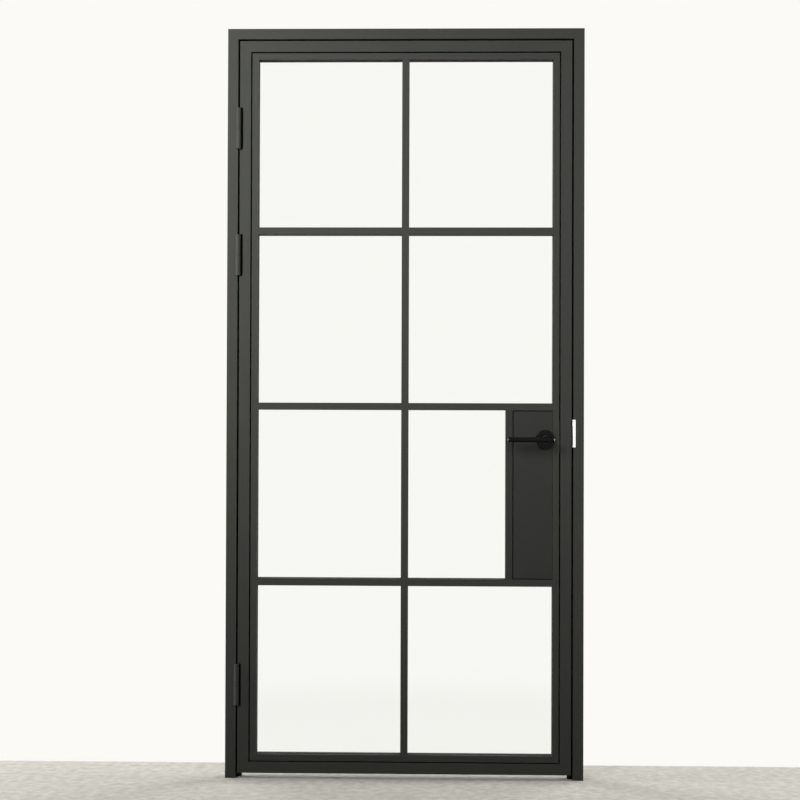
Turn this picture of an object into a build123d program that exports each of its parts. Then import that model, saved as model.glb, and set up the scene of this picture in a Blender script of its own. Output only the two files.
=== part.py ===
from build123d import *
import os
from math import cos, radians, tan

# Steel and glass door hung in its own three-sided frame, with eight panes and a lever latch.
# X runs along the width with the hinges at -X, Y from the front to the rear, Z up from the floor.
# The leaf opens towards the front. All lengths are in millimetres.

# Overall
WIDTH = 1000.0  # outside of the frame
HEIGHT = 2100.0
DEPTH = 40.0  # frame and leaf are flush with each other on both faces
WALL = 2.0  # folded sheet of the frame and leaf profiles
EDGE_RADIUS = 1.0  # bends of the folded profiles
OVERRUN = 5.0  # how far a cut passes the solid that it cuts
FREE = 0.3  # clearance of pieces that pass or nest loosely
RUNNING = 0.05  # radial clearance of a pin or journal in its bore

# Frame
FRAME_FACE = 29.5
STOP_WIDTH = 14.0  # how far the stop reaches into the opening
STOP_DEPTH = 18.0
SEAL_SPACE = 2.0  # between the stop and the leaf's flange
SEAL_WIDTH = 10.0
FIXING_RADIUS = 4.0  # holes for the screws into the wall
FIXING_LOW = 150.0  # height of the lowest and, from the top, of the highest fixing
FIXING_MIDDLE_SPACING = 600.0  # between the two middle fixings of a jamb

# Leaf
GAP = 5.0  # between the leaf and the frame
FLOOR_GAP = 14.5
STILE_FACE = 31.0
GROOVE = 3.8  # shadow line between the profile and the bead grid
BEAD_FACE = 17.7

# Glazing
BAR_FACE = 20.0
BAR_WALL = 1.5
BEAD_DEPTH = 14.0
WEB = 5.0  # stem of a rear bar, between two panes
TAPE = 2.0
TAPE_INSET = 1.0  # the tape stays back from the bar's edge
GLASS = 6.0
GLASS_EDGE = 0.5  # ground edge of a pane
PANE_SPACE = 3.0  # between a pane's edge and what is beside it
BLOCK_LENGTH = 40.0  # setting blocks under a pane
BLOCK_INSET = 60.0  # from the pane's side to the block

# Hinges
KNUCKLE_RADIUS = 7.0
KNUCKLE_CHAMFER = 1.0
HINGE_LENGTH = 115.0
HINGE_PROUD = 2.0  # the axis stands this far in front of the door's face
HINGE_FROM_JAMB = 1.5  # and this far from the jamb's edge, over the gap
HINGE_INSET = 246.0  # from the end of the leaf to the middle of the end hinges
HINGE_PAIR_SPACING = 356.0  # between the two upper hinges
PIN_RADIUS = 4.0
PIN_COVER = 6.0  # solid end of each knuckle, past the pin
WASHER = 2.0
FLAG_THICKNESS = 3.0  # the hinge's flags lie in the gap, welded to the jamb or the stile
FLAG_DEPTH = 20.0
FLAG_INSET = 4.0
NOTCH_GAP = 5.7  # room beside the knuckles in the stile
NOTCH_END = 1.5
NOTCH_RADIUS = 4.0

# Lock
LEVER_DROP = 81.0  # from the transom above the lock plate down to the spindle
BACKSET = 72.5  # from the leaf's edge to the spindle
LOCK_BAR_FACE = 18.9
PLATE_WIDTH = 108.5
PLATE_SHEET = 2.0
PLATE_JOINT = 2.6  # thin line around the lock plate
PLATE_SEAM = 0.8  # between the lock plate and the bead beside it
CASE_THICKNESS = 15.0
CASE_SHEET = 1.5
CASE_PAST_SPINDLE = 20.0
CASE_BELOW = 37.0
CASE_ABOVE = 53.0
FOREND = 3.0
FOREND_WIDTH = 16.0
FOREND_MARGIN = 18.0  # past the case, above and below
FOREND_RADIUS = 3.0
LUG = 8.0  # welded into the stile for the forend's screws
SCREW_RADIUS = 2.0
SCREW_HEAD_RADIUS = 3.8
SCREW_HEAD = 2.0
SCREW_LENGTH = 9.0

# Latch
LATCH_RISE = 17.0  # above the spindle
LATCH_HEIGHT = 20.0
LATCH_WIDTH = 12.0
LATCH_REACH = 11.5  # out of the forend
LATCH_BODY = 18.0  # behind the forend's face
LATCH_NOSE = 2.0  # flat left on the tip by the bevel
TAIL = 3.0
TAIL_HEIGHT = 9.0
TAIL_PIN_RADIUS = 3.0
GUIDE_RADIUS = 1.8
GUIDE_LENGTH = 16.0
SPRING_WIRE = 0.6
SPRING_RADIUS = 2.7
SPRING_PITCH = 5.0
SPRING_SEAT = 3.0  # lug on the cover that the spring pushes against
SPRING_LENGTH = 30.0

# Follower and levers
LEVER_TRAVEL = 40.0  # degrees
HUB_RADIUS = 11.0
JOURNAL_RADIUS = 8.0
ARM_WIDTH = 6.0
ARM_REACH = 21.0
ARM_THICKNESS = 6.0
SPINDLE = 8.0
SPINDLE_FIT = 0.1  # each side of the square
SPINDLE_REACH = 28.0  # into each lever
SOCKET_SPARE = 2.0
NECK_RADIUS = 10.0
NECK_STRAIGHT = 12.0
NECK_TIP_RADIUS = 6.0
NECK_FILLET = 3.0  # where the neck meets the bar
LEVER_BAR_RADIUS = 7.0
LEVER_STAND = 47.0  # from the plate to the bar's axis
LEVER_GRIP = 107.5  # from the spindle to the free end
LEVER_HEEL = 22.5  # past the spindle
LEVER_BEVEL = 2.0  # around both ends of the lever
GRUB_RADIUS = 2.5
GRUB_STAND = 18.0  # from the plate

# Rosettes
ROSETTE_RADIUS = 27.0
ROSETTE_HEIGHT = 8.0
ROSETTE_EDGE = 1.5
ROSETTE_WALL = 1.5
ROSETTE_RING = 0.5  # ring gap around the neck
ROSETTE_BASE = 4.0
ROSETTE_SCREW_SPACING = 38.0

# Strike plate
STRIKE_HEIGHT = 77.0
STRIKE_THICKNESS = 2.0
STRIKE_LIP = 6.0  # over the jamb's face
STRIKE_LIP_THICKNESS = 2.5
STRIKE_BEND = 1.5
STRIKE_DEPTH = 19.0  # along the rebate
STRIKE_PLAY = 1.0  # around the latch
STRIKE_SCREW_SPACING = 54.0
POCKET_MARGIN = 1.5  # the jamb's pocket is this much larger than the strike's hole

# Planes and edges that follow from the sizes above
FRONT = -DEPTH / 2
REAR = DEPTH / 2
STOP_FRONT = REAR - STOP_DEPTH
FLANGE_REAR = STOP_FRONT - SEAL_SPACE
BEAD_REAR = FRONT + BEAD_DEPTH
GLASS_FRONT = BEAD_REAR + TAPE
GLASS_REAR = GLASS_FRONT + GLASS
LEG_FRONT = GLASS_REAR + TAPE

JAMB_EDGE = WIDTH / 2 - FRAME_FACE
LEAF_EDGE = JAMB_EDGE - GAP
LEAF_LOW = FLOOR_GAP
LEAF_HIGH = HEIGHT - FRAME_FACE - GAP
PROFILE_X = LEAF_EDGE - STILE_FACE
PROFILE_LOW = LEAF_LOW + STILE_FACE
PROFILE_HIGH = LEAF_HIGH - STILE_FACE
BEAD_X = PROFILE_X - GROOVE
BEAD_LOW = PROFILE_LOW + GROOVE
BEAD_HIGH = PROFILE_HIGH - GROOVE
SIGHT = STILE_FACE + GROOVE + BEAD_FACE
SIGHT_X = LEAF_EDGE - SIGHT
SIGHT_LOW = LEAF_LOW + SIGHT
SIGHT_HIGH = LEAF_HIGH - SIGHT

ROWS = 4
PANE_HEIGHT = (SIGHT_HIGH - SIGHT_LOW - (ROWS - 1) * BAR_FACE) / ROWS
ROW_PITCH = PANE_HEIGHT + BAR_FACE
TRANSOMS = [SIGHT_HIGH - row * ROW_PITCH + BAR_FACE / 2 for row in range(1, ROWS)]
TRANSOM_NAMES = ["upper", "middle", "lower"]
LOCK_ROW = TRANSOM_NAMES.index("lower")  # the row that the lower transom closes

PLATE_RIGHT = SIGHT_X - PLATE_SEAM
PLATE_LEFT = PLATE_RIGHT - PLATE_WIDTH
LOCK_BAR_X = PLATE_LEFT - PLATE_JOINT - LOCK_BAR_FACE / 2
PLATE_LOW = TRANSOMS[LOCK_ROW] + BAR_FACE / 2
PLATE_HIGH = TRANSOMS[LOCK_ROW - 1] - BAR_FACE / 2
LEVER_HEIGHT = PLATE_HIGH - LEVER_DROP

HINGE_X = -(JAMB_EDGE - HINGE_FROM_JAMB)
HINGE_Y = FRONT - HINGE_PROUD
KNUCKLE_LENGTH = (HINGE_LENGTH - WASHER) / 2
HINGE_HEIGHTS = {
    "upper": LEAF_HIGH - HINGE_INSET,
    "middle": LEAF_HIGH - HINGE_INSET - HINGE_PAIR_SPACING,
    "lower": LEAF_LOW + HINGE_INSET,
}

SPINDLE_X = LEAF_EDGE - BACKSET
LATCH_Z = LEVER_HEIGHT + LATCH_RISE
LOCK_Y = (FRONT + FLANGE_REAR) / 2
CASE_FRONT = LOCK_Y - CASE_THICKNESS / 2
CASE_REAR = LOCK_Y + CASE_THICKNESS / 2
CASE_X = (SPINDLE_X - CASE_PAST_SPINDLE, LEAF_EDGE - FOREND)
CASE_Z = (LEVER_HEIGHT - CASE_BELOW, LEVER_HEIGHT + CASE_ABOVE)
FOREND_Z = (CASE_Z[0] - FOREND_MARGIN, CASE_Z[1] + FOREND_MARGIN)
FOREND_SCREWS = (CASE_Z[0] - FOREND_MARGIN / 2, CASE_Z[1] + FOREND_MARGIN / 2)
TAIL_Y = CASE_FRONT + CASE_SHEET + FREE
ARM_LEAN = LEVER_TRAVEL / 2
SPRING_Y = TAIL_Y + TAIL + FREE + SPRING_RADIUS + SPRING_WIRE
STRIKE_SCREWS = (LATCH_Z - STRIKE_SCREW_SPACING / 2, LATCH_Z + STRIKE_SCREW_SPACING / 2)
FIXINGS = (
    FIXING_LOW,
    HEIGHT / 2 - FIXING_MIDDLE_SPACING / 2,
    HEIGHT / 2 + FIXING_MIDDLE_SPACING / 2,
    HEIGHT - FIXING_LOW,
)

parts = {}


# Small makers shared by all pieces
def block(x, y, z):
    """A box between two values along each axis."""
    centre = [(low + high) / 2 for low, high in (x, y, z)]
    return Pos(*centre) * Box(x[1] - x[0], y[1] - y[0], z[1] - z[0])


def rod_x(x, y, z, radius):
    return Pos((x[0] + x[1]) / 2, y, z) * Rot(0, 90, 0) * Cylinder(radius, x[1] - x[0])


def rod_y(x, y, z, radius):
    return Pos(x, (y[0] + y[1]) / 2, z) * Rot(90, 0, 0) * Cylinder(radius, y[1] - y[0])


def rod_z(x, y, z, radius):
    return Pos(x, y, (z[0] + z[1]) / 2) * Cylinder(radius, z[1] - z[0])


def plate_xz(x, y, z, radius):
    """A slab with round corners, thin along Y."""
    plane = Plane(((x[0] + x[1]) / 2, y[1], (z[0] + z[1]) / 2), x_dir=(1, 0, 0), z_dir=(0, -1, 0))
    face = RectangleRounded(x[1] - x[0], z[1] - z[0], radius)
    return plane.location * extrude(face, amount=y[1] - y[0])


def plate_yz(x, y, z, radius):
    """A slab with round corners, thin along X."""
    plane = Plane((x[0], (y[0] + y[1]) / 2, (z[0] + z[1]) / 2), x_dir=(0, 1, 0), z_dir=(1, 0, 0))
    face = RectangleRounded(y[1] - y[0], z[1] - z[0], radius)
    return plane.location * extrude(face, amount=x[1] - x[0])


def mirrored(solid):
    """The same piece on the rear of the leaf."""
    return mirror(solid, about=Plane.XZ)


def countersunk_screw():
    """A screw along -Z with its flat head at the origin."""
    head = Cone(SCREW_RADIUS, SCREW_HEAD_RADIUS, SCREW_HEAD, align=(Align.CENTER, Align.CENTER, Align.MAX))
    shank = Cylinder(SCREW_RADIUS, SCREW_LENGTH, align=(Align.CENTER, Align.CENTER, Align.MAX))
    return head + shank


def countersunk_hole(length):
    """The room for such a screw, with running clearance."""
    grown = SCREW_HEAD_RADIUS + RUNNING
    head = Cone(SCREW_RADIUS + RUNNING, grown, SCREW_HEAD, align=(Align.CENTER, Align.CENTER, Align.MAX))
    shank = Cylinder(SCREW_RADIUS + RUNNING, length, align=(Align.CENTER, Align.CENTER, Align.MAX))
    return head + shank


# Folded hollow profiles of the frame and the leaf
def hollow_section(outline):
    outer = make_face(Polyline(*outline, close=True))
    inner = offset(outer, amount=-WALL, kind=Kind.INTERSECTION)
    return fillet(outer.vertices(), EDGE_RADIUS) - inner


def member(section, length, plane, start_mitre=True, end_mitre=True):
    """A length of profile along the plane's normal, cut at 45 degrees where it meets the next one."""
    solid = extrude(section, amount=length)
    if end_mitre:
        solid = split(solid, bisect_by=Plane((0, 0, length), z_dir=(1, 0, 1)), keep=Keep.BOTTOM)
    if start_mitre:
        solid = split(solid, bisect_by=Plane((0, 0, 0), z_dir=(1, 0, -1)), keep=Keep.BOTTOM)
    return plane.location * solid


def side_planes(half_width, low, high):
    """Planes for the four members around an opening: across is inwards, along is clockwise."""
    return {
        "hinge": Plane((-half_width, 0, low), x_dir=(1, 0, 0), z_dir=(0, 0, 1)),
        "top": Plane((-half_width, 0, high), x_dir=(0, 0, -1), z_dir=(1, 0, 0)),
        "lock": Plane((half_width, 0, high), x_dir=(-1, 0, 0), z_dir=(0, 0, -1)),
        "bottom": Plane((half_width, 0, low), x_dir=(0, 0, 1), z_dir=(-1, 0, 0)),
    }


def wall_fixings(x):
    holes = [rod_x(x, LOCK_Y, height, FIXING_RADIUS) for height in FIXINGS]
    return sum(holes[1:], holes[0])


def make_frame():
    section = hollow_section(
        [
            (0, FRONT),
            (FRAME_FACE, FRONT),
            (FRAME_FACE, STOP_FRONT),
            (FRAME_FACE + STOP_WIDTH, STOP_FRONT),
            (FRAME_FACE + STOP_WIDTH, REAR),
            (0, REAR),
        ]
    )
    planes = side_planes(WIDTH / 2, 0, HEIGHT)
    hinge_jamb = member(section, HEIGHT, planes["hinge"], start_mitre=False)
    strike_jamb = member(section, HEIGHT, planes["lock"], end_mitre=False)
    hinge_jamb -= wall_fixings((-WIDTH / 2 - OVERRUN, -JAMB_EDGE + OVERRUN))
    strike_jamb -= wall_fixings((JAMB_EDGE - OVERRUN, WIDTH / 2 + OVERRUN))
    for middle in HINGE_HEIGHTS.values():
        span = (middle - HINGE_LENGTH / 2 - FREE, middle + HINGE_LENGTH / 2 + FREE)
        hinge_jamb -= rod_z(HINGE_X, HINGE_Y, span, KNUCKLE_RADIUS + FREE)
    grown = STRIKE_PLAY + POCKET_MARGIN
    strike_jamb -= block(
        (JAMB_EDGE - OVERRUN, JAMB_EDGE + WALL + OVERRUN),
        (LOCK_Y - LATCH_WIDTH / 2 - STRIKE_PLAY, LOCK_Y + LATCH_WIDTH / 2 + STRIKE_PLAY),
        (LATCH_Z - LATCH_HEIGHT / 2 - grown, LATCH_Z + LATCH_HEIGHT / 2 + grown),
    )
    for height in STRIKE_SCREWS:
        strike_jamb -= rod_x(
            (JAMB_EDGE - OVERRUN, JAMB_EDGE + WALL + OVERRUN), LOCK_Y, height, SCREW_RADIUS + RUNNING
        )
    parts["hinge_jamb"] = hinge_jamb
    parts["strike_jamb"] = strike_jamb
    parts["frame_head"] = member(section, WIDTH, planes["top"])


def make_seal():
    """Rubber strips on the stop, just clear of the leaf's flange."""
    y = (FLANGE_REAR + FREE, STOP_FRONT)
    middle = JAMB_EDGE - STOP_WIDTH / 2
    inner, outer = middle - SEAL_WIDTH / 2, middle + SEAL_WIDTH / 2
    top = HEIGHT - FRAME_FACE - STOP_WIDTH / 2
    sides = block((-outer, -inner), y, (0, top + SEAL_WIDTH / 2))
    sides += block((inner, outer), y, (0, top + SEAL_WIDTH / 2))
    head = block((-inner, inner), y, (top - SEAL_WIDTH / 2, top + SEAL_WIDTH / 2))
    parts["side_seals"] = sides
    parts["head_seal"] = head


def hinge_notch(middle):
    """Room for the knuckles in the stile's front edge, with round corners."""
    half = HINGE_LENGTH / 2 + NOTCH_END
    right = HINGE_X + KNUCKLE_RADIUS + NOTCH_GAP
    left = -LEAF_EDGE - OVERRUN - NOTCH_RADIUS
    return plate_xz(
        (left, right),
        (FRONT - OVERRUN, HINGE_Y + KNUCKLE_RADIUS + NOTCH_GAP),
        (middle - half, middle + half),
        NOTCH_RADIUS,
    )


def make_leaf_profiles():
    section = hollow_section(
        [
            (0, FRONT),
            (STILE_FACE, FRONT),
            (STILE_FACE, LEG_FRONT),
            (SIGHT, LEG_FRONT),
            (SIGHT, REAR),
            (STOP_WIDTH, REAR),
            (STOP_WIDTH, FLANGE_REAR),
            (0, FLANGE_REAR),
        ]
    )
    planes = side_planes(LEAF_EDGE, LEAF_LOW, LEAF_HIGH)
    height, width = LEAF_HIGH - LEAF_LOW, 2 * LEAF_EDGE
    hinge_stile = member(section, height, planes["hinge"])
    for middle in HINGE_HEIGHTS.values():
        hinge_stile -= hinge_notch(middle)
    parts["hinge_stile"] = hinge_stile
    parts["lock_stile"] = fit_lock(member(section, height, planes["lock"]))
    parts["top_rail"] = member(section, width, planes["top"])
    parts["bottom_rail"] = member(section, width, planes["bottom"])


def fit_lock(stile):
    """Slots for the lock in the stile's flange, and two lugs for the forend's screws."""
    inside = (FRONT + WALL, FLANGE_REAR - WALL)
    for low, high in ((FOREND_Z[0], CASE_Z[0] - FREE), (CASE_Z[1] + FREE, FOREND_Z[1])):
        stile += block((LEAF_EDGE - FOREND - LUG, LEAF_EDGE - FOREND), inside, (low, high))
    stile -= plate_yz(
        (LEAF_EDGE - FOREND, LEAF_EDGE + OVERRUN),
        (LOCK_Y - FOREND_WIDTH / 2 - RUNNING, LOCK_Y + FOREND_WIDTH / 2 + RUNNING),
        (FOREND_Z[0] - RUNNING, FOREND_Z[1] + RUNNING),
        FOREND_RADIUS,
    )
    stile -= block(
        (PROFILE_X - OVERRUN, PROFILE_X + WALL + OVERRUN),
        (CASE_FRONT - FREE, CASE_REAR + FREE),
        (CASE_Z[0] - FREE, CASE_Z[1] + FREE),
    )
    for height in FOREND_SCREWS:
        stile -= Pos(LEAF_EDGE, LOCK_Y, height) * Rot(0, 90, 0) * countersunk_hole(FOREND + LUG + OVERRUN)
    return stile


# Front bead grid
def tube(x, y, z, along):
    """A rectangular tube between the given limits, open along one axis."""
    spans = {"x": x, "y": y, "z": z}
    bore = {}
    for name, (low, high) in spans.items():
        bore[name] = (low - OVERRUN, high + OVERRUN) if name == along else (low + BAR_WALL, high - BAR_WALL)
    return block(x, y, z) - block(bore["x"], bore["y"], bore["z"])


def case_room(x):
    """Room for the lock case in the back of a front piece."""
    return block(
        (x[0] - OVERRUN, x[1] + OVERRUN),
        (CASE_FRONT - FREE, BEAD_REAR + OVERRUN),
        (CASE_Z[0] - FREE, CASE_Z[1] + FREE),
    )


def make_front_grid():
    y = (FRONT, BEAD_REAR)
    parts["bead_top"] = tube((-BEAD_X, BEAD_X), y, (SIGHT_HIGH, BEAD_HIGH), "x")
    parts["bead_bottom"] = tube((-BEAD_X, BEAD_X), y, (BEAD_LOW, SIGHT_LOW), "x")
    parts["bead_hinge_side"] = tube((-BEAD_X, -SIGHT_X), y, (SIGHT_LOW, SIGHT_HIGH), "z")
    lock_side = tube((SIGHT_X, BEAD_X), y, (SIGHT_LOW, SIGHT_HIGH), "z")
    parts["bead_lock_side"] = lock_side - case_room((SIGHT_X, BEAD_X))
    half = BAR_FACE / 2
    parts["front_mullion"] = tube((-half, half), y, (SIGHT_LOW, SIGHT_HIGH), "z")
    for name, middle in zip(TRANSOM_NAMES, TRANSOMS):
        z = (middle - half, middle + half)
        left = tube((-SIGHT_X, -half), y, z, "x")
        right = tube((half, SIGHT_X), y, z, "x")
        parts[f"front_transom_{name}"] = left + right
    x = (LOCK_BAR_X - LOCK_BAR_FACE / 2, LOCK_BAR_X + LOCK_BAR_FACE / 2)
    parts["front_lock_bar"] = tube(x, y, (PLATE_LOW, PLATE_HIGH), "z")


# Rear bars: a hollow flange with a stem that stands between the panes
def rear_bar(face, length):
    """A rear bar along +Z from the origin, with its stem towards -Y."""
    flange = Pos(0, (LEG_FRONT + REAR) / 2) * Rectangle(face, REAR - LEG_FRONT)
    hollow = offset(flange, amount=-BAR_WALL, kind=Kind.INTERSECTION)
    stem = Pos(0, (BEAD_REAR + LEG_FRONT) / 2) * Rectangle(WEB, LEG_FRONT - BEAD_REAR)
    return extrude(flange + stem - hollow, amount=length)


def rear_bar_across(start, end, height):
    plane = Plane((start, 0, height), x_dir=(0, 0, -1), z_dir=(1, 0, 0))
    return plane.location * rear_bar(BAR_FACE, end - start)


def make_rear_grid():
    half = BAR_FACE / 2
    parts["rear_mullion"] = Pos(0, 0, SIGHT_LOW) * rear_bar(BAR_FACE, SIGHT_HIGH - SIGHT_LOW)
    for name, middle in zip(TRANSOM_NAMES, TRANSOMS):
        left = rear_bar_across(-SIGHT_X, -half, middle)
        right = rear_bar_across(half, SIGHT_X, middle)
        parts[f"rear_transom_{name}"] = left + right
    parts["rear_lock_bar"] = Pos(LOCK_BAR_X, 0, PLATE_LOW) * rear_bar(LOCK_BAR_FACE, PLATE_HIGH - PLATE_LOW)


# Glass, tape and setting blocks
def pane_cells():
    """Name, and inside limits along X and Z, of the room that each pane lies in."""
    web = WEB / 2
    edges = [PROFILE_HIGH] + TRANSOMS + [PROFILE_LOW]
    for row in range(ROWS):
        top = edges[row] - (web if row else 0)
        low = edges[row + 1] + (web if row < ROWS - 1 else 0)
        right = LOCK_BAR_X - web if row == LOCK_ROW else PROFILE_X
        yield f"pane_{row + 1}_left", (-PROFILE_X, -web), (low, top)
        yield f"pane_{row + 1}_right", (web, right), (low, top)


def sight_of(name):
    """Limits of the visible opening in front of a pane."""
    row = int(name.split("_")[1]) - 1
    high = SIGHT_HIGH - row * ROW_PITCH
    right = LOCK_BAR_X - LOCK_BAR_FACE / 2 if row == LOCK_ROW else SIGHT_X
    half = BAR_FACE / 2
    x = (-SIGHT_X, -half) if name.endswith("left") else (half, right)
    return x, (high - PANE_HEIGHT, high)


def make_glazing():
    tapes = {"front": [], "rear": []}
    blocks = []
    for name, cell_x, cell_z in pane_cells():
        x = (cell_x[0] + PANE_SPACE, cell_x[1] - PANE_SPACE)
        z = (cell_z[0] + PANE_SPACE, cell_z[1] - PANE_SPACE)
        pane = block(x, (GLASS_FRONT, GLASS_REAR), z)
        parts[name] = chamfer(pane.edges(), GLASS_EDGE)
        sight_x, sight_z = sight_of(name)
        hole_x = (sight_x[0] - TAPE_INSET, sight_x[1] + TAPE_INSET)
        hole_z = (sight_z[0] - TAPE_INSET, sight_z[1] + TAPE_INSET)
        for side, y in (("front", (BEAD_REAR, GLASS_FRONT)), ("rear", (GLASS_REAR, LEG_FRONT))):
            cut = block(hole_x, (y[0] - OVERRUN, y[1] + OVERRUN), hole_z)
            tapes[side].append(block(x, y, z) - cut)
        for left in (x[0] + BLOCK_INSET, x[1] - BLOCK_INSET - BLOCK_LENGTH):
            blocks.append(block((left, left + BLOCK_LENGTH), (GLASS_FRONT, GLASS_REAR), (cell_z[0], z[0])))
    parts["glazing_tape_front"] = Compound(tapes["front"])
    parts["glazing_tape_rear"] = Compound(tapes["rear"])
    parts["setting_blocks"] = Compound(blocks)


# Hinges: the lower knuckle is welded to the jamb, the upper one to the stile
def knuckle(low, high, blind_end, flag_x):
    """A knuckle with its flag, bored from the joint side and closed at its blind end."""
    body = rod_z(HINGE_X, HINGE_Y, (low, high), KNUCKLE_RADIUS)
    ends = body.edges().filter_by(GeomType.CIRCLE).sort_by(Axis.Z)
    body = chamfer(ends[0] if blind_end == "low" else ends[-1], KNUCKLE_CHAMFER)
    body += block(flag_x, (HINGE_Y, HINGE_Y + FLAG_DEPTH), (low + FLAG_INSET, high - FLAG_INSET))
    bore = (low + PIN_COVER, high + OVERRUN) if blind_end == "low" else (low - OVERRUN, high - PIN_COVER)
    return body - rod_z(HINGE_X, HINGE_Y, bore, PIN_RADIUS + RUNNING)


def make_hinges():
    pins, washers = [], []
    for name, middle in HINGE_HEIGHTS.items():
        low, high = middle - HINGE_LENGTH / 2, middle + HINGE_LENGTH / 2
        seat = low + KNUCKLE_LENGTH
        parts[f"hinge_{name}_jamb_knuckle"] = knuckle(
            low, seat, "low", (-JAMB_EDGE, -JAMB_EDGE + FLAG_THICKNESS)
        )
        parts[f"hinge_{name}_leaf_knuckle"] = knuckle(
            seat + WASHER + FREE, high, "high", (-LEAF_EDGE - FLAG_THICKNESS, -LEAF_EDGE)
        )
        pins.append(rod_z(HINGE_X, HINGE_Y, (low + PIN_COVER, high - PIN_COVER - FREE), PIN_RADIUS))
        ring = rod_z(HINGE_X, HINGE_Y, (seat, seat + WASHER), KNUCKLE_RADIUS)
        through = (seat - OVERRUN, seat + WASHER + OVERRUN)
        washers.append(ring - rod_z(HINGE_X, HINGE_Y, through, PIN_RADIUS + FREE))
    parts["hinge_pins"] = Compound(pins)
    parts["hinge_washers"] = Compound(washers)


# Lock plates: folded trays on both sides of the lock
def make_lock_plates():
    x = (PLATE_LEFT, PLATE_RIGHT)
    z = (PLATE_LOW + PLATE_JOINT, PLATE_HIGH - PLATE_JOINT)
    inside_x = (x[0] + PLATE_SHEET, x[1] - PLATE_SHEET)
    inside_z = (z[0] + PLATE_SHEET, z[1] - PLATE_SHEET)
    front = block(x, (FRONT, BEAD_REAR), z)
    front -= block(inside_x, (FRONT + PLATE_SHEET, BEAD_REAR + OVERRUN), inside_z)
    front -= case_room((PLATE_RIGHT - PLATE_SHEET, PLATE_RIGHT))
    # The rear tray meets the bars all round, so that no light comes through the front tray's joint
    x = (PLATE_LEFT - PLATE_JOINT, SIGHT_X)
    z = (PLATE_LOW, PLATE_HIGH)
    inside_x = (x[0] + PLATE_SHEET, x[1] - PLATE_SHEET)
    inside_z = (z[0] + PLATE_SHEET, z[1] - PLATE_SHEET)
    rear = block(x, (LEG_FRONT, REAR), z)
    rear -= block(inside_x, (LEG_FRONT - OVERRUN, REAR - PLATE_SHEET), inside_z)
    for name, tray in (("front", front), ("rear", rear)):
        tray -= rod_y(SPINDLE_X, (FRONT - OVERRUN, REAR + OVERRUN), LEVER_HEIGHT, NECK_RADIUS)
        for height in rosette_screw_heights():
            tray -= rod_y(SPINDLE_X, (FRONT - OVERRUN, REAR + OVERRUN), height, SCREW_RADIUS + RUNNING)
        parts[f"lock_plate_{name}"] = tray


def rosette_screw_heights():
    half = ROSETTE_SCREW_SPACING / 2
    return (LEVER_HEIGHT - half, LEVER_HEIGHT + half)


# Lock: a flat case with its forend, open to the rear under a cover
def make_lock():
    inside = (CASE_FRONT + CASE_SHEET, CASE_REAR)
    case = block(CASE_X, (CASE_FRONT, CASE_REAR - CASE_SHEET), CASE_Z)
    case -= block(
        (CASE_X[0] + CASE_SHEET, CASE_X[1] - CASE_SHEET),
        (inside[0], inside[1] + OVERRUN),
        (CASE_Z[0] + CASE_SHEET, CASE_Z[1] - CASE_SHEET),
    )
    case += plate_yz(
        (LEAF_EDGE - FOREND, LEAF_EDGE),
        (LOCK_Y - FOREND_WIDTH / 2, LOCK_Y + FOREND_WIDTH / 2),
        FOREND_Z,
        FOREND_RADIUS,
    )
    case -= block(
        (CASE_X[1] - CASE_SHEET - OVERRUN, LEAF_EDGE + OVERRUN),
        (LOCK_Y - LATCH_WIDTH / 2 - FREE, LOCK_Y + LATCH_WIDTH / 2 + FREE),
        (LATCH_Z - LATCH_HEIGHT / 2 - FREE, LATCH_Z + LATCH_HEIGHT / 2 + FREE),
    )
    through = (CASE_FRONT - OVERRUN, inside[0] + OVERRUN)
    case -= rod_y(SPINDLE_X, through, LEVER_HEIGHT, JOURNAL_RADIUS + RUNNING)
    for height in FOREND_SCREWS:
        case -= Pos(LEAF_EDGE, LOCK_Y, height) * Rot(0, 90, 0) * countersunk_hole(FOREND + OVERRUN)
    parts["lock_case"] = case
    cover = block(CASE_X, (CASE_REAR - CASE_SHEET, CASE_REAR), CASE_Z)
    through = (CASE_REAR - OVERRUN, CASE_REAR + OVERRUN)
    cover -= rod_y(SPINDLE_X, through, LEVER_HEIGHT, JOURNAL_RADIUS + RUNNING)
    seat = spring_seat_x()
    cover += block(
        (seat - SPRING_SEAT, seat),
        (SPRING_Y - SPRING_RADIUS, CASE_REAR - CASE_SHEET),
        (LATCH_Z - TAIL_HEIGHT / 2, LATCH_Z + TAIL_HEIGHT / 2),
    )
    parts["lock_cover"] = cover
    seats = [Pos(LEAF_EDGE, LOCK_Y, height) * Rot(0, 90, 0) for height in FOREND_SCREWS]
    screws = [seat * countersunk_screw() for seat in seats]
    parts["forend_screws"] = Compound(screws)


def latch_back_x():
    return LEAF_EDGE - LATCH_BODY


def spring_seat_x():
    return latch_back_x() - SPRING_LENGTH


def tail_pin_x():
    """Where the latch's tail pin lies beside the follower's arm at rest."""
    lean = radians(ARM_LEAN)
    return SPINDLE_X + LATCH_RISE * tan(lean) - (ARM_WIDTH / 2 + TAIL_PIN_RADIUS + FREE) / cos(lean)


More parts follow.
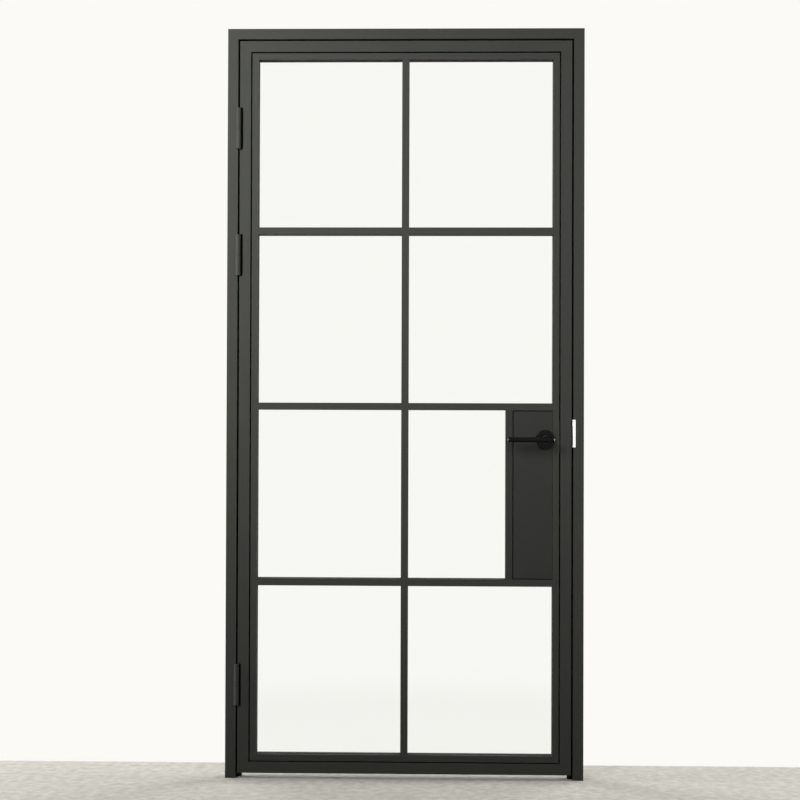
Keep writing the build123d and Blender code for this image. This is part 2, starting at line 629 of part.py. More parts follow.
def make_latch():
    tip, back = LEAF_EDGE + LATCH_REACH, latch_back_x()
    y = (LOCK_Y - LATCH_WIDTH / 2, LOCK_Y + LATCH_WIDTH / 2)
    bevel = LATCH_WIDTH - LATCH_NOSE
    outline = [(back, y[0]), (tip, y[0]), (tip, y[0] + LATCH_NOSE), (tip - bevel, y[1]), (back, y[1])]
    head = extrude(make_face(Polyline(*outline, close=True)), amount=LATCH_HEIGHT)
    latch = Pos(0, 0, LATCH_Z - LATCH_HEIGHT / 2) * head
    end = tail_pin_x()
    tail_z = (LATCH_Z - TAIL_HEIGHT / 2, LATCH_Z + TAIL_HEIGHT / 2)
    latch += block((end - TAIL_PIN_RADIUS, back), (TAIL_Y, TAIL_Y + TAIL), tail_z)
    latch += rod_y(end, (TAIL_Y, TAIL_Y + TAIL + ARM_THICKNESS), LATCH_Z, TAIL_PIN_RADIUS)
    latch += rod_x((back - GUIDE_LENGTH, back), SPRING_Y, LATCH_Z, GUIDE_RADIUS)
    parts["latch_bolt"] = latch


def make_latch_spring():
    """A compression spring between the cover's lug and the back of the latch."""
    length = SPRING_LENGTH - 2 * SPRING_WIRE - 2 * FREE
    path = Helix(SPRING_PITCH, length, SPRING_RADIUS)
    start = Plane(path @ 0, z_dir=path % 0)
    coil = sweep(start * Circle(SPRING_WIRE), path=path, is_frenet=True)
    place = Plane((spring_seat_x() + SPRING_WIRE + FREE, SPRING_Y, LATCH_Z), z_dir=(1, 0, 0))
    parts["latch_spring"] = place.location * coil


def make_follower():
    """The hub that the spindle turns: its arm draws the latch back."""
    inside = (CASE_FRONT + CASE_SHEET + FREE, CASE_REAR - CASE_SHEET - FREE)
    hub = rod_y(SPINDLE_X, inside, LEVER_HEIGHT, HUB_RADIUS)
    hub += rod_y(SPINDLE_X, (CASE_FRONT, CASE_REAR), LEVER_HEIGHT, JOURNAL_RADIUS)
    arm_front = TAIL_Y + TAIL + FREE
    arm = block((-ARM_WIDTH / 2, ARM_WIDTH / 2), (arm_front, arm_front + ARM_THICKNESS), (0, ARM_REACH))
    hub += Pos(SPINDLE_X, 0, LEVER_HEIGHT) * Rot(0, ARM_LEAN, 0) * arm
    parts["follower"] = hub - square_bar((CASE_FRONT - OVERRUN, CASE_REAR + OVERRUN), SPINDLE_FIT)


def square_bar(y, grown):
    half = SPINDLE / 2 + grown
    return block((SPINDLE_X - half, SPINDLE_X + half), y, (LEVER_HEIGHT - half, LEVER_HEIGHT + half))


# Levers, spindle and rosettes: made on the front plate and mirrored to the rear
def on_plate(x=0, stand=0, rise=0):
    """A place on the front face, with its Z axis pointing out of the plate."""
    plane = Plane((SPINDLE_X + x, FRONT - stand, LEVER_HEIGHT + rise), x_dir=(1, 0, 0), z_dir=(0, -1, 0))
    return plane.location


def grub_hole(grown):
    low = NECK_RADIUS
    high = SPINDLE / 2 + SPINDLE_FIT
    return rod_z(
        SPINDLE_X, FRONT - GRUB_STAND, (LEVER_HEIGHT - low, LEVER_HEIGHT - high), GRUB_RADIUS + grown
    )


def make_lever():
    upright = (Align.CENTER, Align.CENTER, Align.MIN)
    neck = Pos(0, 0, FREE) * Cylinder(NECK_RADIUS, NECK_STRAIGHT - FREE, align=upright)
    taper = LEVER_STAND - NECK_STRAIGHT
    neck += Pos(0, 0, NECK_STRAIGHT) * Cone(NECK_RADIUS, NECK_TIP_RADIUS, taper, align=upright)
    bar = rod_x((-LEVER_GRIP, LEVER_HEEL), 0, LEVER_STAND, LEVER_BAR_RADIUS)
    bar = chamfer(bar.edges().filter_by(GeomType.CIRCLE), LEVER_BEVEL)
    body = neck + bar
    body = fillet(body.edges().filter_by(GeomType.BSPLINE), NECK_FILLET)
    lever = on_plate() * body
    lever -= square_bar((FRONT - SPINDLE_REACH - SOCKET_SPARE, FRONT + OVERRUN), SPINDLE_FIT)
    lever -= grub_hole(RUNNING)
    parts["lever_front"] = lever
    parts["lever_rear"] = mirrored(lever)
    parts["spindle"] = square_bar((FRONT - SPINDLE_REACH, REAR + SPINDLE_REACH), 0)
    grub = grub_hole(0)
    parts["grub_screws"] = Compound([grub, mirrored(grub)])


def make_rosettes():
    upright = (Align.CENTER, Align.CENTER, Align.MIN)
    cover = Cylinder(ROSETTE_RADIUS, ROSETTE_HEIGHT, align=upright)
    rim = cover.edges().filter_by(GeomType.CIRCLE).sort_by(Axis.Z)[-1]
    cover = fillet(rim, ROSETTE_EDGE)
    inner = ROSETTE_RADIUS - ROSETTE_WALL
    cover -= Cylinder(inner, ROSETTE_HEIGHT - ROSETTE_WALL, align=upright)
    cover -= Cylinder(NECK_RADIUS + ROSETTE_RING, ROSETTE_HEIGHT + OVERRUN, align=upright)
    base = Cylinder(inner - FREE, ROSETTE_BASE, align=upright)
    base -= Cylinder(NECK_RADIUS + RUNNING, ROSETTE_BASE + OVERRUN, align=upright)
    screws = []
    for rise in (-ROSETTE_SCREW_SPACING / 2, ROSETTE_SCREW_SPACING / 2):
        base -= Pos(0, rise, ROSETTE_BASE) * countersunk_hole(ROSETTE_BASE + OVERRUN)
        length = ROSETTE_BASE + PLATE_SHEET
        short = countersunk_screw() & Cylinder(
            SCREW_HEAD_RADIUS + OVERRUN, length, align=(Align.CENTER, Align.CENTER, Align.MAX)
        )
        screws.append(on_plate(0, ROSETTE_BASE, rise) * short)
    front_cover, front_base = on_plate() * cover, on_plate() * base
    parts["rosette_front"] = front_cover
    parts["rosette_rear"] = mirrored(front_cover)
    parts["rosette_bases"] = Compound([front_base, mirrored(front_base)])
    parts["rosette_screws"] = Compound(screws + [mirrored(screw) for screw in screws])


def make_strike():
    """An angle of stainless steel: one leg in the rebate, a short lip on the jamb's face."""
    face = JAMB_EDGE - STRIKE_THICKNESS
    lip_front = FRONT - STRIKE_LIP_THICKNESS
    outline = [
        (face, lip_front),
        (JAMB_EDGE + STRIKE_LIP, lip_front),
        (JAMB_EDGE + STRIKE_LIP, FRONT),
        (JAMB_EDGE, FRONT),
        (JAMB_EDGE, FRONT + STRIKE_DEPTH),
        (face, FRONT + STRIKE_DEPTH),
    ]
    sketch = make_face(Polyline(*outline, close=True))
    corner = sketch.vertices().sort_by_distance((face, lip_front, 0))[0]
    sketch = fillet(corner, STRIKE_BEND)
    strike = Pos(0, 0, LATCH_Z - STRIKE_HEIGHT / 2) * extrude(sketch, amount=STRIKE_HEIGHT)
    strike -= block(
        (face - OVERRUN, JAMB_EDGE + OVERRUN),
        (LOCK_Y - LATCH_WIDTH / 2 - STRIKE_PLAY, LOCK_Y + LATCH_WIDTH / 2 + STRIKE_PLAY),
        (LATCH_Z - LATCH_HEIGHT / 2 - STRIKE_PLAY, LATCH_Z + LATCH_HEIGHT / 2 + STRIKE_PLAY),
    )
    screws = []
    for height in STRIKE_SCREWS:
        place = Pos(face, LOCK_Y, height) * Rot(0, -90, 0)
        strike -= place * countersunk_hole(STRIKE_THICKNESS + OVERRUN)
        screws.append(place * countersunk_screw())
    parts["strike_plate"] = strike
    parts["strike_screws"] = Compound(screws)


make_frame()
make_seal()
make_leaf_profiles()
make_front_grid()
make_rear_grid()
make_glazing()
make_hinges()
make_lock_plates()
make_lock()
make_latch()
make_latch_spring()
make_follower()
make_lever()
make_rosettes()
make_strike()

os.makedirs("parts", exist_ok=True)
for name, shape in parts.items():
    export_step(shape, f"parts/{name}.step")
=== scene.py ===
import math

import bmesh
import bpy
from mathutils import Matrix, Vector


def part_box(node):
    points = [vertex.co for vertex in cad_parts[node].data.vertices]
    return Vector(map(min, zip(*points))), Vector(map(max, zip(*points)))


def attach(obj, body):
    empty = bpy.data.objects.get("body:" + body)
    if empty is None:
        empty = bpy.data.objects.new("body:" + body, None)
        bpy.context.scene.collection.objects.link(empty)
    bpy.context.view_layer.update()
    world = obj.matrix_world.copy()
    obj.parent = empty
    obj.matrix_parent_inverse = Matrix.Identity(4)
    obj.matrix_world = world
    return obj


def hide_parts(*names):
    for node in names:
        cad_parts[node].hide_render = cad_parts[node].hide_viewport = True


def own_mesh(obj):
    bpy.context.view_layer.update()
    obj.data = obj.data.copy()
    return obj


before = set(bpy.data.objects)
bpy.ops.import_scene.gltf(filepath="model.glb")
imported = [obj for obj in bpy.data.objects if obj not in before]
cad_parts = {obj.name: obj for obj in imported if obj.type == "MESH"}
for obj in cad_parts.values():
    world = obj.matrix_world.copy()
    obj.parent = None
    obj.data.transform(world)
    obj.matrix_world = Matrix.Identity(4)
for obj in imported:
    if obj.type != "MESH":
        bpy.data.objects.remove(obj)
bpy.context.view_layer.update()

# Steel and glass door in its frame: finishes, socket screws, stop seal, latch spring and studio.
# Lengths are in metres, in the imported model's frame: X along the width, Y to the rear, Z up.
MM = 0.001

# Camera, solved from the corners and bars of the door in an 800 by 800 frame
FRAME_PIXELS = 800
FOCAL_PIXELS = 1602.5
SENSOR_WIDTH = 36.0
CAMERA_PLACE = (0.0885, -4.5, 1.0084)
CAMERA_YAW = math.radians(-1.305)
CAMERA_PITCH = math.radians(0.637)
CAMERA_ROLL = math.radians(0.184)

# Studio
BACKGROUND_COLOUR = "#fbfaf6"
AMBIENT_STRENGTH = 0.04
FLOOR_HALF_WIDTH = 8.0
FLOOR_BACK_EDGE = 0.18  # where the grey of the floor turns to the white behind the door
FLOOR_EDGE_SOFTNESS = 0.006
FLOOR_NEAR = 1.1  # grey up to here from the door
FLOOR_FAR = 1.9  # and white from here on

# Sizes of the finishes' patterns, in millimetres
COAT_PEBBLE = 1.4  # about 0.4 on the real coat; drawn coarser so that it shows
COAT_CLOUD = 120
ENAMEL_FLOW = 3
ENAMEL_CLOUD = 28
GRIND_LINE = 0.3
GRIND_STRETCH = (1.0, 1.0, 0.015)  # makes the lines some 20 mm long
ZINC_CRYSTAL = 9
PASSIVATION_CLOUD = 7
RUBBER_GRAIN = 0.8
FOAM_CELL = 0.6
ACETAL_GRAIN = 1.0
PACKER_GRAIN = 1.2
GLASS_FILM = 180
CONCRETE_CLOUD = 24


def linear(colour):
    """The linear colour of an sRGB hex value."""
    parts = [int(colour[i : i + 2], 16) / 255 for i in (1, 3, 5)]
    return (*[v / 12.92 if v <= 0.04045 else ((v + 0.055) / 1.055) ** 2.4 for v in parts], 1.0)


def add(tree, kind, inputs=None, **settings):
    """A node with its settings; an input is a value, or another node's output to link."""
    made = tree.nodes.new(kind)
    for name, value in settings.items():
        setattr(made, name, value)
    for name, value in (inputs or {}).items():
        if isinstance(value, bpy.types.NodeSocket):
            tree.links.new(value, made.inputs[name])
        else:
            made.inputs[name].default_value = value
    return made


def math_node(tree, operation, first, second, **settings):
    made = add(tree, "ShaderNodeMath", {0: first, 1: second}, operation=operation, **settings)
    return made.outputs[0]


def noise(tree, place, size, detail):
    """A cloudy pattern of this size in millimetres."""
    scale = 1 / (size * MM)
    made = add(tree, "ShaderNodeTexNoise", {"Vector": place, "Scale": scale, "Detail": detail})
    return made.outputs["Fac"]


def blend(tree, factor, dark, light):
    """A colour between two sRGB hex values."""
    inputs = {"Factor": factor, "A": linear(dark), "B": linear(light)}
    return add(tree, "ShaderNodeMix", inputs, data_type="RGBA").outputs["Result"]


def map_range(tree, value, limits, **settings):
    return add(tree, "ShaderNodeMapRange", {"Value": value, **limits}, **settings).outputs["Result"]


def bump(tree, height, strength, distance):
    """A surface normal roughened by a pattern; the distance is in millimetres."""
    inputs = {"Height": height, "Strength": strength, "Distance": distance * MM}
    return add(tree, "ShaderNodeBump", inputs).outputs["Normal"]


def new_material(name):
    """An empty material with its node tree and the place on the object."""
    material = bpy.data.materials.new(name)
    material.use_nodes = True
    tree = material.node_tree
    tree.nodes.clear()
    return material, tree, add(tree, "ShaderNodeTexCoord").outputs["Object"]


def close_material(tree, shader, volume=None):
    links = {"Surface": shader.outputs[0]}
    if volume:
        links["Volume"] = volume.outputs[0]
    add(tree, "ShaderNodeOutputMaterial", links)


def powder_coat(name, dark, light):
    """Black polyester powder baked on steel: a dull, finely pebbled skin with hardly any gloss."""
    material, tree, place = new_material(name)
    pebbles = noise(tree, place, COAT_PEBBLE, 2.0)
    clouds = noise(tree, place, COAT_CLOUD, 4.0)
    speckle = map_range(
        tree, pebbles, {"From Min": 0.3, "From Max": 0.7, "To Min": 0.9, "To Max": 1.1}
    )
    colour = add(
        tree,
        "ShaderNodeVectorMath",
        {0: blend(tree, clouds, dark, light), "Scale": speckle},
        operation="SCALE",
    )
    shader = add(
        tree,
        "ShaderNodeBsdfPrincipled",
        {
            "Base Color": colour.outputs["Vector"],
            "Roughness": map_range(tree, clouds, {"To Min": 0.56, "To Max": 0.68}),
            "Specular IOR Level": 0.1,
            "Normal": bump(tree, pebbles, 0.35, 0.12),
        },
    )
    close_material(tree, shader)
    return material


def satin_black_enamel():
    """Stove enamel on a zinc casting: a deep black that is smooth enough for soft highlights."""
    material, tree, place = new_material("satin_black_enamel")
    flow = noise(tree, place, ENAMEL_FLOW, 2.0)
    clouds = noise(tree, place, ENAMEL_CLOUD, 3.0)
    shader = add(
        tree,
        "ShaderNodeBsdfPrincipled",
        {
            "Base Color": blend(tree, clouds, "#080808", "#0c0c0b"),
            "Roughness": map_range(tree, clouds, {"To Min": 0.14, "To Max": 0.2}),
            "Specular IOR Level": 0.11,
            "Normal": bump(tree, flow, 0.08, 0.05),
        },
    )
    close_material(tree, shader)
    return material


def brushed_stainless(name, dark, light):
    """Stainless steel with a fine vertical grind: bright, highlights drawn out across the lines."""
    material, tree, place = new_material(name)
    drawn = add(tree, "ShaderNodeMapping", {"Vector": place, "Scale": GRIND_STRETCH})
    lines = noise(tree, drawn.outputs["Vector"], GRIND_LINE, 3.0)
    shader = add(
        tree,
        "ShaderNodeBsdfPrincipled",
        {
            "Base Color": blend(tree, lines, dark, light),
            "Metallic": 1.0,
            "Roughness": map_range(tree, lines, {"To Min": 0.2, "To Max": 0.38}),
            "Normal": bump(tree, lines, 0.1, 0.02),
        },
    )
    close_material(tree, shader)
    return material


def clouded_metal(name, dark, light, cloud, roughness):
    """Bare or plated metal whose bright skin is a little clouded."""
    material, tree, place = new_material(name)
    clouds = noise(tree, place, cloud, 5.0)
    smooth, rough = roughness
    shader = add(
        tree,
        "ShaderNodeBsdfPrincipled",
        {
            "Base Color": blend(tree, clouds, dark, light),
            "Metallic": 1.0,
            "Roughness": map_range(tree, clouds, {"To Min": smooth, "To Max": rough}),
        },
    )
    close_material(tree, shader)
    return material


def float_glass():
    """Clear float glass: a faint green that only shows at the edges, and a thin film of dust."""
    material, tree, place = new_material("clear_float_glass")
    film = noise(tree, place, GLASS_FILM, 3.0)
    clear = add(
        tree,
        "ShaderNodeBsdfPrincipled",
        {
            "Base Color": linear("#fdfdfd"),
            "Roughness": map_range(tree, film, {"To Min": 0.0, "To Max": 0.02}),
            "IOR": 1.52,
            "Transmission Weight": 1.0,
        },
    )
    lamps_pass = add(tree, "ShaderNodeBsdfTransparent", {"Color": linear("#eeefec")})
    shader = add(
        tree,
        "ShaderNodeMixShader",
        {
            0: add(tree, "ShaderNodeLightPath").outputs["Is Shadow Ray"],
            1: clear.outputs[0],
            2: lamps_pass.outputs[0],
        },
    )
    body = add(tree, "ShaderNodeVolumeAbsorption", {"Color": linear("#c6e8d6"), "Density": 6.0})
    close_material(tree, shader, body)
    return material


def grained_soft(name, dark, light, grain, roughness, strength):
    """Rubber, foam or moulded plastic: matt, with a fine grain."""
    material, tree, place = new_material(name)
    grains = noise(tree, place, grain, 3.0)
    shader = add(
        tree,
        "ShaderNodeBsdfPrincipled",
        {
            "Base Color": blend(tree, grains, dark, light),
            "Roughness": roughness,
            "Specular IOR Level": 0.2,
            "Normal": bump(tree, grains, strength, 0.1),
        },
    )
    close_material(tree, shader)
    return material


# The profiles' coat, and a darker copy on the lock plates and the bars beside them: painted shade
# round the lock, on plates of a deeper black.
coat = powder_coat("fine_texture_powder_coat", "#363733", "#3d3e39")
darker_coat_painted_shade = powder_coat("darker_powder_coat_painted_shade", "#2f302e", "#363734")
enamel = satin_black_enamel()
# The strike plate is ground nearly white; screws and pins are a plainer grey steel.
bright_stainless = brushed_stainless("ground_stainless_sheet", "#e8e7e4", "#f5f4f2")
stainless = brushed_stainless("turned_stainless", "#9d9c99", "#b9b8b5")
glass = float_glass()
# Bright zinc on pressed steel: a cool grey with faint crystal clouds.
zinc = clouded_metal("zinc_plated_steel", "#a9adb1", "#c6cacd", ZINC_CRYSTAL, (0.3, 0.46))
# Black passivated zinc: nearly black, with a dull metal sheen.
passivated = clouded_metal(
    "black_passivated_zinc", "#17181a", "#222426", PASSIVATION_CLOUD, (0.4, 0.55)
)
# EPDM rubber: soft black with a talcum bloom.
rubber = grained_soft("epdm_rubber", "#1a1a19", "#262625", RUBBER_GRAIN, 0.72, 0.3)
# Closed-cell glazing foam: dark grey, open at its cut sides.
foam = grained_soft("closed_cell_foam", "#262624", "#333330", FOAM_CELL, 0.9, 0.6)
# Acetal: a smooth, waxy black.
acetal = grained_soft("black_acetal", "#0f0f0f", "#151515", ACETAL_GRAIN, 0.4, 0.1)
# Moulded polypropylene: a pale grey packer.
plastic = grained_soft("moulded_polypropylene", "#8e9294", "#9b9fa1", PACKER_GRAIN, 0.45, 0.15)

FINISHES = {
    # The darker coat on the lock plates and the bars beside them is painted shade round the lock.
    darker_coat_painted_shade: ["lock_plate_front", "lock_plate_rear", "front_lock_bar", "rear_lock_bar"],
    enamel: ["lever_front", "lever_rear", "rosette_front", "rosette_rear"],
    bright_stainless: ["strike_plate"],
    stainless: ["strike_screws", "hinge_pins", "forend_screws"],
    zinc: ["latch_spring", "follower", "spindle", "rosette_bases", "rosette_screws"],
    passivated: ["lock_case", "lock_cover", "latch_bolt", "grub_screws"],
    acetal: ["hinge_washers"],
    rubber: ["side_seals", "head_seal"],
    foam: ["glazing_tape_front", "glazing_tape_rear"],
    plastic: ["setting_blocks"],
    glass: [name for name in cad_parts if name.startswith("pane_")],
}
finish_of = {name: material for material, names in FINISHES.items() for name in names}
for name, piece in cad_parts.items():
    piece.data.materials.clear()
    piece.data.materials.append(finish_of.get(name, coat))


def socket_screw_tree():
    """Screws with a hexagon socket, one on each input point, along the turned Z axis."""
    tree = bpy.data.node_groups.new("socket_screws", "GeometryNodeTree")
    sockets = [
        ("Places", "NodeSocketGeometry"),
        ("Turn", "NodeSocketVector"),
        ("Head Radius", "NodeSocketFloat"),
        ("Head Height", "NodeSocketFloat"),
        ("Shank Radius", "NodeSocketFloat"),
        ("Length", "NodeSocketFloat"),
        ("Socket Radius", "NodeSocketFloat"),
        ("Socket Depth", "NodeSocketFloat"),
        ("Finish", "NodeSocketMaterial"),
    ]
    for name, kind in sockets:
        tree.interface.new_socket(name, in_out="INPUT", socket_type=kind)
    tree.interface.new_socket("Screws", in_out="OUTPUT", socket_type="NodeSocketGeometry")
    given = add(tree, "NodeGroupInput").outputs
    down = math_node(tree, "MULTIPLY", given["Head Height"], -1.0)
    head = add(
        tree,
        "GeometryNodeMeshCone",
        {
            "Vertices": SCREW_FACETS,
            "Radius Top": given["Head Radius"],
            "Radius Bottom": given["Shank Radius"],
            "Depth": given["Head Height"],
        },
    )
    head_place = add(tree, "ShaderNodeCombineXYZ", {"Z": down})
    head = add(
        tree,
        "GeometryNodeTransform",
        {"Geometry": head.outputs["Mesh"], "Translation": head_place.outputs[0]},
    )
    bore = add(
        tree,
        "GeometryNodeMeshCylinder",
        {"Vertices": HEXAGON, "Radius": given["Socket Radius"], "Depth": given["Socket Depth"]},
    )
    head = add(
        tree,
        "GeometryNodeMeshBoolean",
        {"Mesh 1": head.outputs["Geometry"], "Mesh 2": bore.outputs["Mesh"]},
        operation="DIFFERENCE",
        solver="EXACT",
    )
    shank_length = math_node(tree, "SUBTRACT", given["Length"], given["Head Height"])
    shank = add(
        tree,
        "GeometryNodeMeshCylinder",
        {"Vertices": SCREW_FACETS, "Radius": given["Shank Radius"], "Depth": shank_length},
    )
    ends = math_node(tree, "ADD", given["Length"], given["Head Height"])
    middle = math_node(tree, "MULTIPLY", ends, -0.5)
    shank_place = add(tree, "ShaderNodeCombineXYZ", {"Z": middle})
    shank = add(
        tree,
        "GeometryNodeTransform",
        {"Geometry": shank.outputs["Mesh"], "Translation": shank_place.outputs[0]},
    )
    screw = add(tree, "GeometryNodeJoinGeometry")
    for half in (head.outputs["Mesh"], shank.outputs["Geometry"]):
        tree.links.new(half, screw.inputs["Geometry"])
    turn = add(tree, "FunctionNodeEulerToRotation", {"Euler": given["Turn"]})
    set_out = add(
        tree,
        "GeometryNodeInstanceOnPoints",
        {
            "Points": given["Places"],
            "Instance": screw.outputs["Geometry"],
            "Rotation": turn.outputs["Rotation"],
        },
    )
    real = add(tree, "GeometryNodeRealizeInstances", {"Geometry": set_out.outputs["Instances"]})
    finished = add(
        tree,
        "GeometryNodeSetMaterial",
        {"Geometry": real.outputs["Geometry"], "Material": given["Finish"]},
    )
    add(tree, "NodeGroupOutput", {"Screws": finished.outputs["Geometry"]})
    return tree


def grown_mesh(tree, name, points, sizes):
    """A plain mesh object from a node tree that is run on the given points."""
    base = bpy.data.meshes.new(name + "_points")
    base.from_pydata(points, [], [])
    holder = bpy.data.objects.new(name + "_points", base)
    bpy.context.scene.collection.objects.link(holder)
    modifier = holder.modifiers.new("grow", "NODES")
    modifier.node_group = tree
    sockets = {s.name: s.identifier for s in tree.interface.items_tree if s.in_out == "INPUT"}
    for label, value in sizes.items():
        modifier[sockets[label]] = value
    depsgraph = bpy.context.evaluated_depsgraph_get()
    mesh = bpy.data.meshes.new_from_object(holder.evaluated_get(depsgraph), depsgraph=depsgraph)
    mesh.name = name
    holder.modifiers.remove(modifier)
    bpy.data.objects.remove(holder)
    piece = bpy.data.objects.new(name, mesh)
    bpy.context.scene.collection.objects.link(piece)
    return piece


# Screws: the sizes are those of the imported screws, which these replace
SCREW_FACETS = 32
HEXAGON = 6
SCREW_HEAD_RADIUS = 3.8 * MM
SCREW_HEAD = 2.0 * MM
SCREW_RADIUS = 2.0 * MM
SCREW_LENGTH = 9.0 * MM
SCREW_SOCKET_RADIUS = 1.45 * MM
SCREW_SOCKET_DEPTH = 2.4 * MM
GRUB_RADIUS = 2.5 * MM
GRUB_SOCKET_RADIUS = 1.45 * MM
GRUB_SOCKET_DEPTH = 4.0 * MM
QUARTER_TURN = math.pi / 2

screw_tree = socket_screw_tree()
countersunk = {
    "Head Radius": SCREW_HEAD_RADIUS,
    "Head Height": SCREW_HEAD,
    "Shank Radius": SCREW_RADIUS,
    "Length": SCREW_LENGTH,
    "Socket Radius": SCREW_SOCKET_RADIUS,
    "Socket Depth": SCREW_SOCKET_DEPTH,
    "Finish": stainless,
}
for node, face, turn, body in (
    ("strike_screws", 0, -QUARTER_TURN, "frame"),
    ("forend_screws", 1, QUARTER_TURN, "leaf"),
):
    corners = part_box(node)
    across = (corners[0].y + corners[1].y) / 2
    heights = (corners[0].z + SCREW_HEAD_RADIUS, corners[1].z - SCREW_HEAD_RADIUS)
    points = [(corners[face].x, across, height) for height in heights]
    sizes = {"Turn": (0.0, turn, 0.0), **countersunk}
    screws = grown_mesh(screw_tree, "socket_" + node, points, sizes)
    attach(screws, body)
    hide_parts(node)

low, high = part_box("grub_screws")
grub_length = high.z - low.z
grub_sides = (low.y + GRUB_RADIUS, high.y - GRUB_RADIUS)
grub_points = [((low.x + high.x) / 2, side, low.z) for side in grub_sides]
grubs = grown_mesh(
    screw_tree,
    "socket_grub_screws",
    grub_points,
    {
        "Turn": (math.pi, 0.0, 0.0),
        "Head Radius": GRUB_RADIUS,
        "Head Height": grub_length / 2,
        "Shank Radius": GRUB_RADIUS,
        "Length": grub_length,
        "Socket Radius": GRUB_SOCKET_RADIUS,
        "Socket Depth": GRUB_SOCKET_DEPTH,
        "Finish": passivated,
    },
)
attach(grubs, "lever")
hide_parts("grub_screws")


# Stop seal: a rubber strip with two rounded ribs that the leaf closes on
SEAL_BASE = 0.7 * MM
SEAL_RIB_STEPS = 8
SEAL_RIB_SHARE = 0.2  # half a rib's width, as a share of the seal's


def seal_outline(width, height):
    """Half width against height above the stop, from one foot to the other."""
    ribs = []
    for middle in (-width / 4, width / 4):
        for step in range(SEAL_RIB_STEPS + 1):
            angle = math.pi * (1 - step / SEAL_RIB_STEPS)
            rise = (height - SEAL_BASE) * math.sin(angle)
            ribs.append((middle + SEAL_RIB_SHARE * width * math.cos(angle), SEAL_BASE + rise))
    half = width / 2
    return [(-half, 0.0), (-half, SEAL_BASE), *ribs, (half, SEAL_BASE), (half, 0.0)]


def add_strip(mesh, outline, start, end, across, out):
    """An outline pulled from start to end, with capped ends."""
    rings = []
    for point in (start, end):
        rings.append([mesh.verts.new(point + across * a + out * b) for a, b in outline])
    count = len(outline)
    for i in range(count):
        j = (i + 1) % count
        mesh.faces.new((rings[0][i], rings[0][j], rings[1][j], rings[1][i]))
    mesh.faces.new(rings[0])
    mesh.faces.new(rings[1])


def stop_seal():
    sides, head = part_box("side_seals"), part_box("head_seal")
    stop = sides[1].y
    height = stop - sides[0].y
    width = head[1].z - head[0].z
    towards_leaf = Vector((0, -1, 0))
    outline = seal_outline(width, height)
    mesh = bmesh.new()
    for x in (sides[0].x + width / 2, sides[1].x - width / 2):
        ends = [Vector((x, stop, z)) for z in (sides[0].z, sides[1].z)]
        add_strip(mesh, outline, *ends, Vector((1, 0, 0)), towards_leaf)
    middle = (head[0].z + head[1].z) / 2
    ends = [Vector((x, stop, middle)) for x in (head[0].x, head[1].x)]
    add_strip(mesh, outline, *ends, Vector((0, 0, 1)), towards_leaf)
    bmesh.ops.recalc_face_normals(mesh, faces=mesh.faces)
    data = bpy.data.meshes.new("ribbed_stop_seal")
    mesh.to_mesh(data)
    mesh.free()
    data.materials.append(rubber)
    piece = bpy.data.objects.new("ribbed_stop_seal", data)
    bpy.context.scene.collection.objects.link(piece)
    return piece


seal = stop_seal()
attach(seal, "frame")
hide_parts("side_seals", "head_seal")

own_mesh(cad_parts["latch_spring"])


def seen(tree):
    """1 where the camera sees this, directly, through glass or mirrored, and 0 for other light."""
    path = add(tree, "ShaderNodeLightPath").outputs
    mirrored = math_node(tree, "ADD", path["Is Camera Ray"], path["Is Glossy Ray"])
    through = math_node(tree, "ADD", mirrored, path["Is Transmission Ray"], use_clamp=True)
    unscattered = math_node(tree, "LESS_THAN", path["Diffuse Depth"], 0.5)
    return math_node(tree, "MULTIPLY", through, unscattered)


# Floor: pale concrete round the door that runs out into the white of the studio
def studio_floor_finish():
    """Power-floated concrete: pale warm grey with soft clouds, white away from the door."""
    material, tree, place = new_material("power_floated_concrete")
    clouds = noise(tree, place, CONCRETE_CLOUD, 8.0)
    patches = map_range(tree, clouds, {"From Min": 0.3, "From Max": 0.7})
    grey = blend(tree, patches, "#b0aea6", "#c9c6bd")
    concrete = add(tree, "ShaderNodeBsdfDiffuse", {"Color": grey})
    # Light that bounces off the floor is dimmed, so that the foot of the door stays dark.
    dim = add(tree, "ShaderNodeBsdfDiffuse", {"Color": linear("#6a6a68")})
    glow = add(tree, "ShaderNodeEmission", {"Color": linear(BACKGROUND_COLOUR), "Strength": 1.0})
    along = add(tree, "ShaderNodeSeparateXYZ", {"Vector": place})
    behind = map_range(
        tree,
        along.outputs["Y"],
        {
            "From Min": FLOOR_BACK_EDGE - FLOOR_EDGE_SOFTNESS,
            "From Max": FLOOR_BACK_EDGE + FLOOR_EDGE_SOFTNESS,
        },
        interpolation_type="SMOOTHSTEP",
    )
    distance = add(tree, "ShaderNodeVectorMath", {0: place}, operation="LENGTH")
    far = map_range(
        tree,
        distance.outputs["Value"],
        {"From Min": FLOOR_NEAR, "From Max": FLOOR_FAR},
        interpolation_type="SMOOTHSTEP",
    )
    whiter = math_node(tree, "MAXIMUM", behind, far)
    plain = add(
        tree,
        "ShaderNodeMixShader",
        {0: whiter, 1: concrete.outputs[0], 2: glow.outputs[0]},
    )
    shader = add(
        tree, "ShaderNodeMixShader", {0: seen(tree), 1: dim.outputs[0], 2: plain.outputs[0]}
    )
    close_material(tree, shader)
    return material


floor_mesh = bpy.data.meshes.new("studio_floor")
reach = FLOOR_HALF_WIDTH
floor_corners = [(-reach, -reach, 0), (reach, -reach, 0), (reach, reach, 0), (-reach, reach, 0)]
floor_mesh.from_pydata(floor_corners, [], [(0, 1, 2, 3)])
floor_mesh.materials.append(studio_floor_finish())
floor = bpy.data.objects.new("studio_floor", floor_mesh)
bpy.context.scene.collection.objects.link(floor)


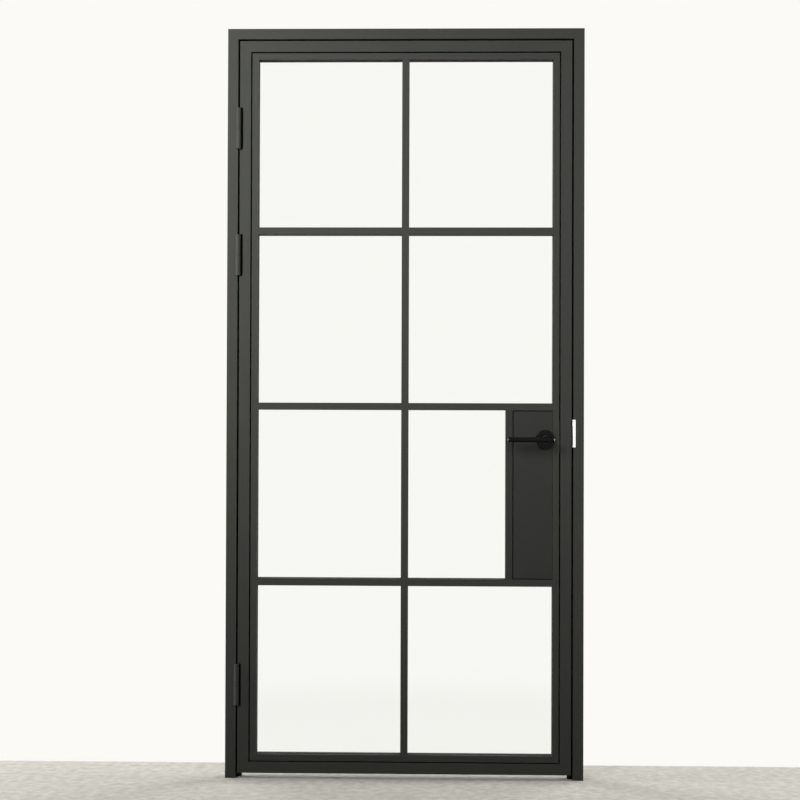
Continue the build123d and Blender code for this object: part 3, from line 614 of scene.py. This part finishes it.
# Light: a white surround, two soft lamps in front, two behind, a strip at each side, one overhead.
# The strips stand in the plane of the door, where the bevelled ends of the lever mirror them.
def studio_world():
    world = bpy.data.worlds.new("studio")
    world.use_nodes = True
    tree = world.node_tree
    tree.nodes.clear()
    soft = add(
        tree, "ShaderNodeBackground", {"Color": linear("#ffffff"), "Strength": AMBIENT_STRENGTH}
    )
    plain = add(
        tree, "ShaderNodeBackground", {"Color": linear(BACKGROUND_COLOUR), "Strength": 1.0}
    )
    both = add(
        tree, "ShaderNodeMixShader", {0: seen(tree), 1: soft.outputs[0], 2: plain.outputs[0]}
    )
    add(tree, "ShaderNodeOutputWorld", {"Surface": both.outputs[0]})
    bpy.context.scene.world = world


def soft_lamp(name, place, target, size, watts, spread, mirrored):
    """A rectangular lamp aimed at target; place and size in metres, spread in degrees."""
    data = bpy.data.lights.new(name, "AREA")
    data.shape = "RECTANGLE"
    data.size, data.size_y = size
    data.energy = watts
    data.spread = math.radians(spread)
    lamp = bpy.data.objects.new(name, data)
    lamp.location = place
    lamp.rotation_mode = "QUATERNION"
    lamp.rotation_quaternion = (Vector(target) - Vector(place)).to_track_quat("-Z", "Y")
    lamp.visible_camera = False
    lamp.visible_transmission = False
    lamp.visible_glossy = mirrored
    bpy.context.scene.collection.objects.link(lamp)


studio_world()
soft_lamp("left_softbox", (-2.1, -2.4, 2.8), (-1.0, 0, 1.85), (2.0, 1.6), 29, 60, mirrored=True)
soft_lamp("right_softbox", (2.1, -2.4, 2.3), (1.1, 0, 1.6), (2.0, 2.6), 15, 75, mirrored=True)
soft_lamp("left_strip", (-2.7, -0.15, 0.95), (0, -0.15, 0.95), (0.4, 1.6), 60, 180, mirrored=True)
soft_lamp("right_strip", (3.0, 0.12, 0.95), (0, 0.12, 0.95), (0.4, 1.6), 75, 180, mirrored=True)
soft_lamp("left_rear_softbox", (-2.4, 1.8, 2.4), (0, 0, 1.2), (1.6, 1.2), 12, 60, mirrored=False)
soft_lamp("right_rear_softbox", (2.4, 1.8, 2.4), (0, 0, 1.2), (1.6, 1.2), 12, 60, mirrored=False)
soft_lamp("ceiling_softbox", (0, 1.4, 3.5), (0, 0.5, 0), (5.0, 2.6), 32, 180, mirrored=False)

# Camera
camera_data = bpy.data.cameras.new("photo_camera")
camera_data.sensor_width = SENSOR_WIDTH
camera_data.lens = SENSOR_WIDTH * FOCAL_PIXELS / FRAME_PIXELS
camera = bpy.data.objects.new("photo_camera", camera_data)
camera.matrix_world = (
    Matrix.Translation(CAMERA_PLACE)
    @ Matrix.Rotation(-CAMERA_YAW, 4, "Z")
    @ Matrix.Rotation(QUARTER_TURN + CAMERA_PITCH, 4, "X")
    @ Matrix.Rotation(CAMERA_ROLL, 4, "Z")
)
bpy.context.scene.collection.objects.link(camera)
bpy.context.scene.camera = camera
bpy.context.scene.view_settings.view_transform = "Standard"
